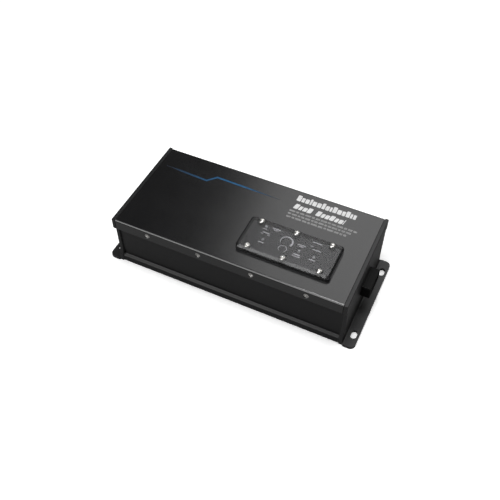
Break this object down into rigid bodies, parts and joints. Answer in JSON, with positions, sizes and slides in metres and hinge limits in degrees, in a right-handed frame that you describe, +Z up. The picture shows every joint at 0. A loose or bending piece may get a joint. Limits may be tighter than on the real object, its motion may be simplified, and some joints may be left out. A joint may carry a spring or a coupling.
{
  "type": "audio power amplifier",
  "caption": "Weather-sealed power amplifier in a black metal case with slotted end feet, a screwed-down clear control cover and a socket in one end.",
  "frame": {"origin": "middle of the mounting plane under the case", "axes": "+X along the case towards the connector end, +Y across it away from the control cover's edge, +Z up from the mounting plane"},
  "size_m": [0.264, 0.113, 0.0693],
  "materials": {
    "cast_plate": "fine satin black powder coat on a die casting",
    "black_anodise": "satin black anodised extrusion with a fine grain",
    "steel_screw": "bright stainless steel",
    "black_screw": "black oxide steel",
    "seal_rubber": "matt black rubber",
    "smoked_clear": "smoke-tinted clear plastic, polished",
    "socket_plastic": "moulded black nylon",
    "contact_brass": "gold-flashed brass",
    "circuit_board": "green solder mask over glass laminate",
    "spacer_aluminium": "plain machined aluminium",
    "copper_winding": "enamelled copper wire",
    "capacitor_sleeve": "dark blue shrink sleeve",
    "chip_epoxy": "black moulding epoxy",
    "thermal_silicone": "grey thermally conductive silicone",
    "control_body_plastic": "moulded black plastic",
    "knob_plastic": "fluted dark grey plastic",
    "lever_plastic": "light grey plastic",
    "light_clear": "clear light guide",
    "ribbon_insulation": "grey flat cable insulation"
  },
  "bodies": {
    "amplifier": {"left_end_plate": "cast_plate", "right_end_plate": "cast_plate", "tray": "black_anodise", "top_cover": "black_anodise", "cover_screws": "steel_screw", "board_screws": "steel_screw", "control_board_screws": "steel_screw", "clamp_screws": "steel_screw", "connector_screws": "steel_screw", "transformer_bolt": "steel_screw", "transformer_nut": "steel_screw", "transformer_washer": "steel_screw", "end_plate_screws": "black_screw", "left_end_gasket": "seal_rubber", "right_end_gasket": "seal_rubber", "cover_gaskets": "seal_rubber", "control_cover_gasket": "seal_rubber", "connector_seal": "seal_rubber", "transformer_pads": "seal_rubber", "connector_housing": "socket_plastic", "connector_pins": "contact_brass", "main_board": "circuit_board", "control_board": "circuit_board", "board_standoffs": "spacer_aluminium", "control_board_spacers": "spacer_aluminium", "transistor_clamps": "spacer_aluminium", "transformer_winding": "copper_winding", "output_chokes": "copper_winding", "filter_capacitors": "capacitor_sleeve", "signal_chips": "chip_epoxy", "power_transistors": "chip_epoxy", "thermal_pads": "thermal_silicone", "level_control": "control_body_plastic", "crossover_control": "control_body_plastic", "input_switch": "control_body_plastic", "filter_switch": "control_body_plastic", "turn_on_switch": "control_body_plastic", "ribbon_sockets": "control_body_plastic", "light_pipe": "light_clear", "status_lamp": "light_clear", "ribbon_cable": "ribbon_insulation"},
    "control_cover": {"control_cover": "smoked_clear", "control_cover_screws": "steel_screw"},
    "level_knob": {"level_knob": "knob_plastic"},
    "crossover_knob": {"crossover_knob": "knob_plastic"},
    "input_switch_lever": {"input_switch_lever": "lever_plastic"},
    "filter_switch_lever": {"filter_switch_lever": "lever_plastic"},
    "turn_on_switch_lever": {"turn_on_switch_lever": "lever_plastic"}
  },
  "joints": [
    {"name": "control_cover_lift", "type": "slide", "parent": "amplifier", "child": "control_cover", "axis": [0, 0, 1], "range_m": [0, 0.03]},
    {"name": "level_turn", "type": "hinge", "parent": "amplifier", "child": "level_knob", "pos_m": [0.043, -0.0127, 0.0602], "axis": [0, 0, -1], "range_deg": [-140, 140]},
    {"name": "crossover_turn", "type": "hinge", "parent": "amplifier", "child": "crossover_knob", "pos_m": [0.043, -0.022, 0.0602], "axis": [0, 0, -1], "range_deg": [-140, 140]},
    {"name": "input_switch_slide", "type": "slide", "parent": "amplifier", "child": "input_switch_lever", "axis": [0, 1, 0], "range_m": [0, 0.003]},
    {"name": "filter_switch_slide", "type": "slide", "parent": "amplifier", "child": "filter_switch_lever", "axis": [0, 1, 0], "range_m": [-0.0015, 0.0015]},
    {"name": "turn_on_switch_slide", "type": "slide", "parent": "amplifier", "child": "turn_on_switch_lever", "axis": [0, 1, 0], "range_m": [0, 0.003]}
  ]
}
